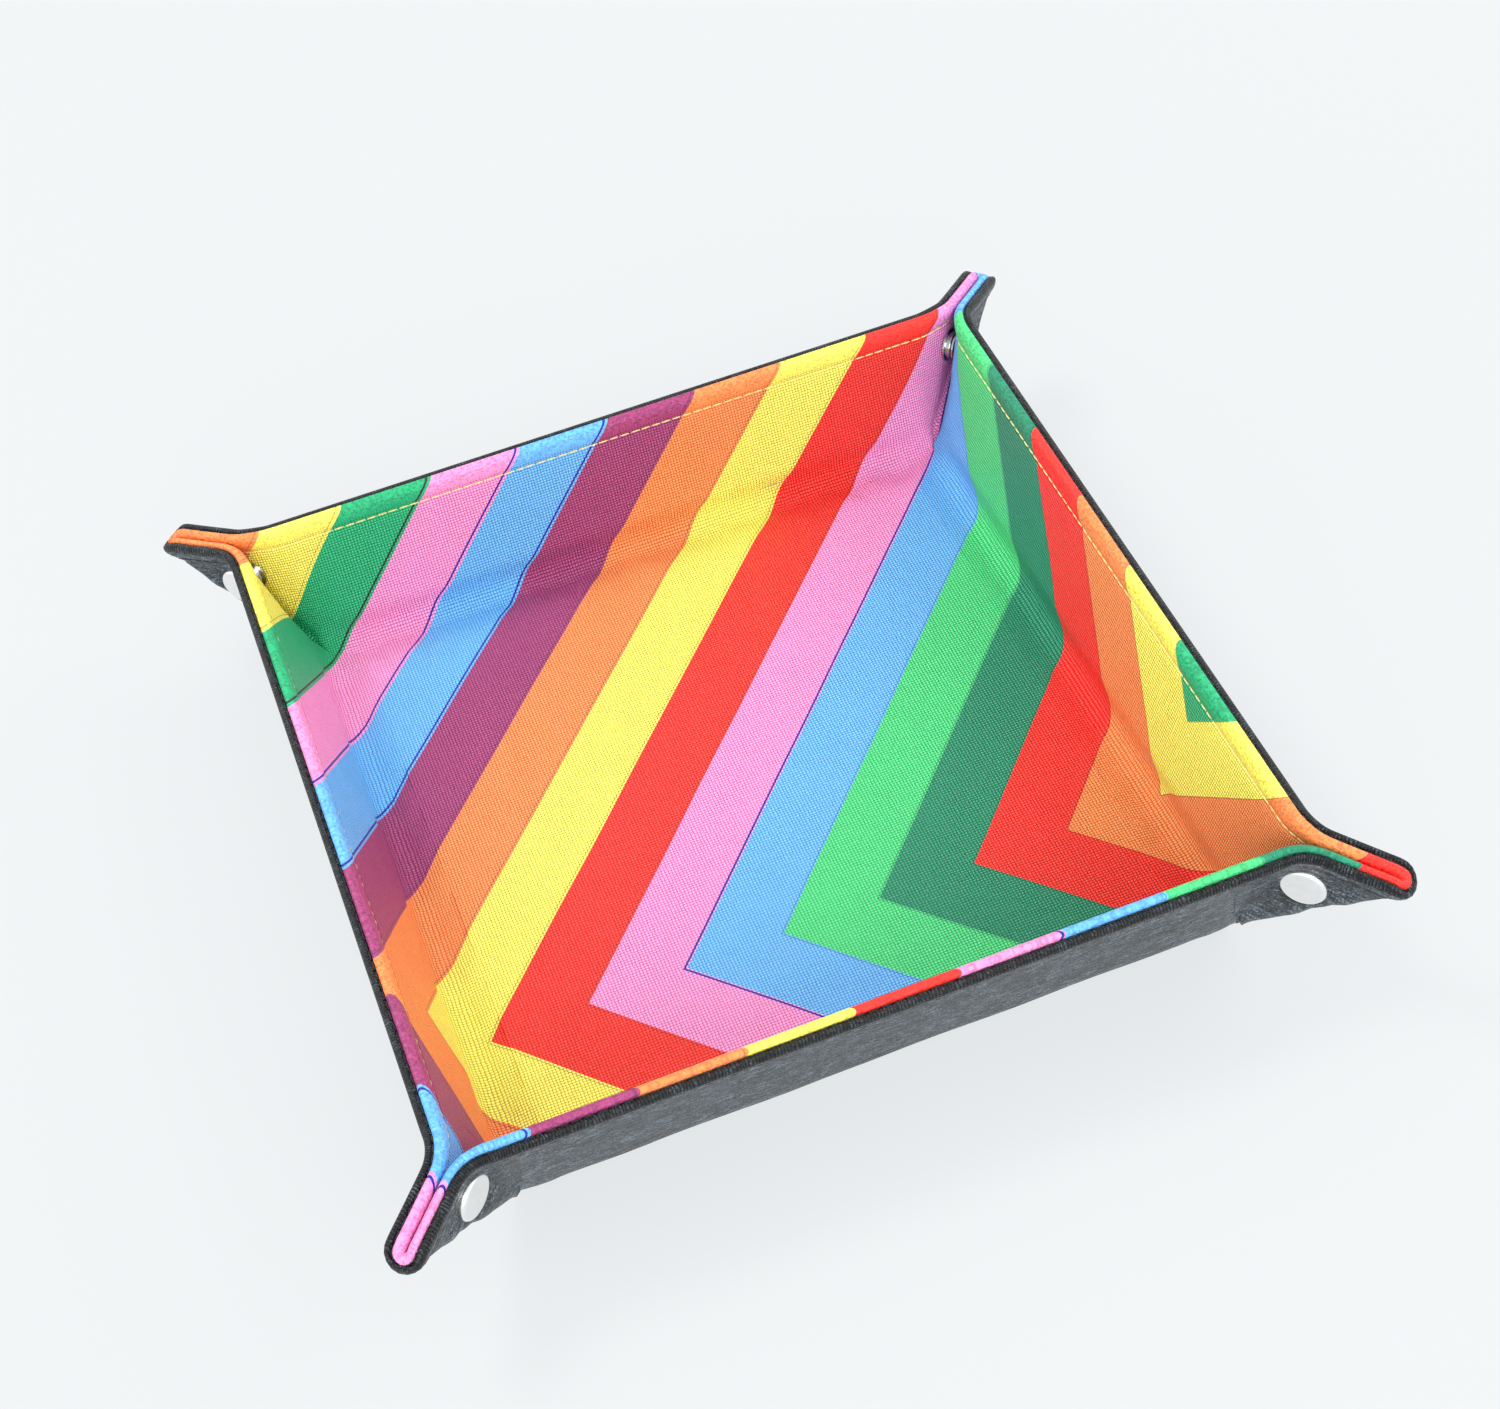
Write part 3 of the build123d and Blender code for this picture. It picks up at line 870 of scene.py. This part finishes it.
def stitch_row(name, line, depths, upright, material, inward):
    """A seam as separate stitches along a flat line: each swells in its middle and dips at its ends."""
    middles, lengths = along_line(line, STITCH + STITCH_GAP)
    rng = np.random.default_rng(len(name))
    middles = middles + rng.normal(0, 0.1, len(middles)) * MM
    offset, swell, sink = np.array(STATIONS).T
    at = middles[:, None] + offset * STITCH
    flat = point_on(line, lengths, at)
    sign = 1 if inward else -1
    jitter = rng.normal(0, 0.15, (len(middles), 1))
    depth = np.interp(at, lengths, depths) + sign * (sink + jitter) * THREAD
    spot, face = place(flat[..., 0], flat[..., 1], upright, depth)
    run = np.gradient(spot, axis=1)
    run /= np.linalg.norm(run, axis=-1, keepdims=True)
    side = np.cross(face, run)
    turn = 2 * pi * np.arange(SIDES) / SIDES
    ring = np.cos(turn)[:, None] * side[:, :, None] + np.sin(turn)[:, None] * face[:, :, None]
    points = spot[:, :, None] + THREAD * swell[:, None, None] * ring
    faces = []
    for base in range(0, len(middles) * len(STATIONS) * SIDES, len(STATIONS) * SIDES):
        last = base + (len(STATIONS) - 1) * SIDES
        for start in range(base, last, SIDES):
            for k in range(SIDES):
                a, b = start + k, start + (k + 1) % SIDES
                faces.append((a, b, b + SIDES, a + SIDES))
        faces.append(tuple(base + k for k in reversed(range(SIDES))))
        faces.append(tuple(last + k for k in range(SIDES)))
    return new_mesh(name, points.reshape(-1, 3), faces, None, material)


def section_depth(section, inset, line):
    """The depth of a face of the rim at this distance in, along a flat line."""
    insets = np.array([row[0] for row in section])
    i = int(np.argmin(np.abs(insets - inset / MM)))
    share = ear_share(line[..., 0], line[..., 1], True)
    return (section[i][1] + (section[i][2] - section[i][1]) * share) * MM


# Each seam: its side, the rim section it lies on, distance in from the edge, thread, facing inward.
SEAMS = (
    ("inner", LINING_RIM, INNER_SEAM, pale_thread, True),
    ("outer", COVER_RIM, OUTER_SEAM, black_thread, False),
    ("edge", ((0.8, 3.8, 2.95),), 0.8 * MM, black_thread, False),
)


def make_seams(wall, turns):
    upright = turns % 2 == 0
    for side, section, inset, material, inward in SEAMS:
        line = wall_rim(inset)
        depths = section_depth(section, inset, line)
        name = f"{wall}_wall_{side}_stitches"
        piece = stitch_row(name, quarter_turn(line, turns), depths, upright, material, inward)
        if side == "inner":
            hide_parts(f"{wall}_wall_stitching")
        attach(piece, f"{wall}_wall")
        for mirror in (False, True):
            corner = WALLS[(turns + (1 if mirror else 3)) % 4]
            ear = f"{wall}_wall_{corner}_ear"
            for part, columns in EAR_PARTS:
                line = ear_rim(inset)[columns]
                depths = section_depth(section, inset, line)
                flat = quarter_turn(mirrored(line) if mirror else line, turns)
                name = f"{ear}{part}_{side}_stitches"
                piece = stitch_row(name, flat, depths, upright, material, inward)
                if part:
                    flatten_fold(piece, turns, mirror, ear)
                else:
                    bend_wall_to_ear(piece, turns, mirror)


def dress_cad_nodes():
    """Better materials on the CAD nodes that stay."""
    for name, node in frame["nodes"].items():
        if name.endswith("_board"):
            material = board_material
        elif name.endswith("socket_spring"):
            material = steel
        elif name.endswith(("_snap_socket", "_snap_stud")):
            material = dark_nickel
        elif name.endswith("_snap_cap"):
            material = nickel
        else:
            continue
        node.data.materials.clear()
        node.data.materials.append(material)


# ---- table, light and camera -------------------------------------------------------------
TABLE = 30.0                                           # middle of the table to its edges
SKY = (0.97, 0.985, 1.0, 1)
HORIZON, ZENITH = 1.5, 0.85                            # strength of the sky low down and overhead
LIGHTS = (
    ("key_light", (-0.7, 0.8, 1.5), 0.7, 19),
    ("front_light", (-0.2, -1.5, 0.9), 1.2, 24),
    ("right_light", (1.5, 0.2, 0.9), 1.0, 15),
)


def make_table():
    corners = np.array(((-TABLE, -TABLE, 0), (TABLE, -TABLE, 0), (TABLE, TABLE, 0), (-TABLE, TABLE, 0)))
    new_mesh("table_top", corners, [(0, 1, 2, 3)], None, pale_table())


def make_sky():
    """A soft white surround, brighter towards the horizon."""
    world = bpy.data.worlds.new("studio")
    bpy.context.scene.world = world
    world.use_nodes = True
    tree = world.node_tree
    height = tree.nodes.new("ShaderNodeSeparateXYZ")
    tree.links.new(tree.nodes.new("ShaderNodeTexCoord").outputs["Generated"], height.inputs[0])
    fade = tree.nodes.new("ShaderNodeMapRange")
    for socket, value in (("From Min", 0.0), ("From Max", 0.9), ("To Min", HORIZON), ("To Max", ZENITH)):
        fade.inputs[socket].default_value = value
    tree.links.new(height.outputs["Z"], fade.inputs["Value"])
    tree.links.new(fade.outputs[0], tree.nodes["Background"].inputs["Strength"])
    tree.nodes["Background"].inputs["Color"].default_value = SKY


def make_light(name, spot, size, power):
    """A round area light that faces the tray's middle."""
    data = bpy.data.lights.new(name, "AREA")
    data.shape = "DISK"
    data.size = size
    data.energy = power
    light = bpy.data.objects.new(name, data)
    bpy.context.scene.collection.objects.link(light)
    light.location = spot
    light.rotation_euler = light.location.to_track_quat("Z", "Y").to_euler()


def make_camera():
    """Stands in front of the tray, a little to its left, and looks 48 degrees down at it."""
    data = bpy.data.cameras.new("camera")
    data.lens = 62.1
    camera = bpy.data.objects.new("camera", data)
    bpy.context.scene.collection.objects.link(camera)
    camera.location = (-103.6 * MM, -434.9 * MM, 536.2 * MM)
    camera.rotation_euler = (radians(41.24), radians(5.77), radians(-20.40))
    data.clip_start = 0.01
    bpy.context.scene.camera = camera


make_camera()
make_floor()
for turns, wall in enumerate(WALLS):
    make_wall(wall, turns)
    make_ear(wall, turns, False)
    make_ear(wall, turns, True)
    make_seams(wall, turns)
dress_cad_nodes()
make_table()
make_sky()
for light in LIGHTS:
    make_light(*light)
bpy.context.scene.view_settings.view_transform = "Standard"
